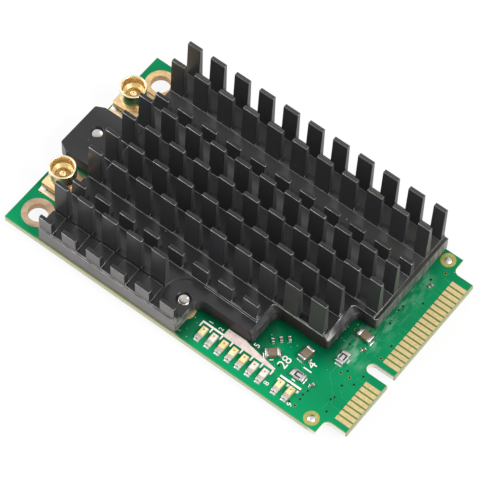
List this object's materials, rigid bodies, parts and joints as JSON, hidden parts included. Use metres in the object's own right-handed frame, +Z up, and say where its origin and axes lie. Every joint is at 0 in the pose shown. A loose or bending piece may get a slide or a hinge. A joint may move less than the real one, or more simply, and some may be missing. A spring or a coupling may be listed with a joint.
{
  "type": "mini pcie wireless card",
  "caption": "Full-size Mini PCIe radio card: green board, black cross-cut fin heatsink over the chips, gold push-on antenna jacks, a row of indicator lamps and a keyed contact tongue.",
  "frame": {"origin": "midway between the two mounting holes, on the board's underside", "axes": "+X from the antenna end to the contact tongue, +Y from the lamp edge to the far edge, +Z up out of the component side"},
  "size_m": [0.0514, 0.0302, 0.0105],
  "materials": {
    "solder_mask": "glossy green mask over glass fibre laminate",
    "gold_plate": "gold flash over copper",
    "jack_gold": "polished gold plate",
    "black_anodised": "black anodised, satin",
    "screw_nickel": "nickel plated",
    "thermal_pad": "soft filled silicone",
    "chip_black": "moulded epoxy",
    "crystal_metal": "bare metal lid",
    "ferrite": "pressed ferrite",
    "filter_ceramic": "fired ceramic",
    "insulator_white": "fluoropolymer",
    "lamp_white": "lamp substrate",
    "lamp_clear": "clear epoxy over a pale phosphor",
    "solder_tin": "tinned",
    "capacitor_brown": "fired ceramic",
    "resistor_white": "alumina",
    "resistor_black": "glass coat"
  },
  "bodies": {
    "root": {"circuit_board": "solder_mask", "edge_contacts_top": "gold_plate", "edge_contacts_bottom": "gold_plate", "mounting_hole_plating": "gold_plate", "tooling_hole_plating": "gold_plate", "screw_hole_plating": "gold_plate", "heatsink": "black_anodised", "heatsink_screws": "screw_nickel", "antenna_jack_front_shell": "jack_gold", "antenna_jack_front_insulator": "insulator_white", "antenna_jack_front_contact": "jack_gold", "antenna_jack_back_shell": "jack_gold", "antenna_jack_back_insulator": "insulator_white", "antenna_jack_back_contact": "jack_gold", "lamp_bases": "lamp_white", "lamp_lenses": "lamp_clear", "lamp_terminals": "solder_tin", "capacitor_bodies": "capacitor_brown", "capacitor_terminals": "solder_tin", "resistor_bodies": "resistor_white", "resistor_coats": "resistor_black", "resistor_terminals": "solder_tin", "small_chip_bodies": "capacitor_brown", "small_chip_terminals": "solder_tin", "radio_chip": "chip_black", "radio_thermal_pad": "thermal_pad", "bypass_capacitors": "capacitor_brown", "amplifier_chips": "chip_black", "amplifier_thermal_pads": "thermal_pad", "antenna_filters": "filter_ceramic", "crystal": "crystal_metal", "memory_chip": "chip_black", "regulator_chip": "chip_black", "power_inductor": "ferrite"}
  },
  "joints": []
}
